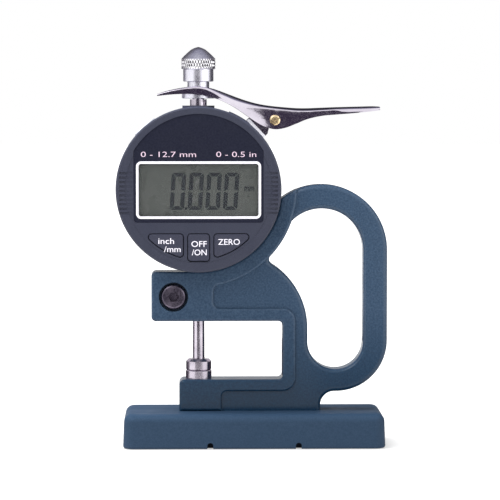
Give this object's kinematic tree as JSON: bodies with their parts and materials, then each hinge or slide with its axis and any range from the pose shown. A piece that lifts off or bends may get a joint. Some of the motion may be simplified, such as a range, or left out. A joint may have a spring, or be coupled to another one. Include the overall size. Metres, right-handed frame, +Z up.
{
  "type": "digital thickness gauge",
  "caption": "Digital thickness gauge: a round indicator with display and keys clamped in a C frame with a handle loop on a base, its spindle lifted by a lever.",
  "frame": {"origin": "centre of the base's underside", "axes": "+Z up along the spindle, +X from the indicator to the handle, -Y to the viewer of the display"},
  "size_m": [0.0958, 0.034, 0.1408],
  "materials": {
    "base_paint": "fine textured paint, satin",
    "frame_paint": "hammered paint, satin",
    "plate_steel": "zinc plated sheet",
    "screw_steel": "plated steel",
    "black_steel": "black oxide",
    "ground_steel": "ground and polished hard steel",
    "case_plastic": "fine grained",
    "cover_plastic": "light grey, smooth",
    "bezel_plastic": "fine grained",
    "panel_gloss": "polished",
    "window_clear": "clear, polished",
    "display_glass": "grey-green display glass",
    "strip_rubber": "conductive rubber",
    "pad_rubber": "silicone rubber",
    "board": "circuit board",
    "inner_plastic": "moulded",
    "battery_steel": "stainless can",
    "bright_plate": "plated sheet",
    "brass": "turned brass",
    "knob_chrome": "satin chrome, knurled band",
    "carrier_alloy": "milled",
    "scale_glass": "scale with copper pattern",
    "lever_chrome": "bright plated pressing",
    "key_rubber": "moulded keys"
  },
  "bodies": {
    "stand": {"base": "base_paint", "base_plate": "plate_steel", "plate_screws": "screw_steel", "foot_screws": "black_steel", "frame": "frame_paint", "clamp_screw": "black_steel", "anvil": "ground_steel", "stem": "ground_steel", "top_bush": "ground_steel", "case_body": "case_plastic", "port_cover": "cover_plastic", "back_cover": "case_plastic", "cover_screws": "screw_steel", "board_screws": "screw_steel", "battery_cover": "case_plastic", "battery": "battery_steel", "battery_holder": "inner_plastic", "bezel": "bezel_plastic", "display_panel": "panel_gloss", "display_window": "window_clear", "display": "display_glass", "contact_strips": "strip_rubber", "circuit_board": "board", "key_pad": "pad_rubber", "reader_head": "inner_plastic", "guide_block": "inner_plastic", "seat_plate": "bright_plate", "bracket": "bright_plate", "bracket_screws": "screw_steel", "pivot_screw": "brass", "pivot_nut": "brass", "return_spring": "screw_steel"},
    "spindle_unit": {"spindle": "ground_steel", "contact_point": "ground_steel", "knob": "knob_chrome", "carrier": "carrier_alloy", "scale_strip": "scale_glass", "guide_pin": "ground_steel"},
    "lever": {"lever": "lever_chrome"},
    "key_left": {"key_left": "key_rubber"},
    "key_middle": {"key_middle": "key_rubber"},
    "key_right": {"key_right": "key_rubber"}
  },
  "joints": [
    {"name": "spindle_slide", "type": "slide", "parent": "stand", "child": "spindle_unit", "axis": [0, 0, 1], "range_m": [0, 0.0127], "stiffness_N_per_m": 47, "springref_m": -0.0255, "deforming": ["return_spring"]},
    {"name": "lever_swing", "type": "hinge", "parent": "stand", "child": "lever", "pos_m": [0.0074, 0, 0.115], "axis": [0, 1, 0], "range_deg": [0, 25.25]},
    {"name": "key_left_press", "type": "slide", "parent": "stand", "child": "key_left", "axis": [0, 1, 0], "range_m": [0, 0.0005], "stiffness_N_per_m": 1500, "springref_m": -0.0003},
    {"name": "key_middle_press", "type": "slide", "parent": "stand", "child": "key_middle", "axis": [0, 1, 0], "range_m": [0, 0.0005], "stiffness_N_per_m": 1500, "springref_m": -0.0003},
    {"name": "key_right_press", "type": "slide", "parent": "stand", "child": "key_right", "axis": [0, 1, 0], "range_m": [0, 0.0005], "stiffness_N_per_m": 1500, "springref_m": -0.0003}
  ],
  "couplings": [
    {"joint": "lever_swing", "follows": "spindle_slide", "rad_per_m": 34.69}
  ]
}
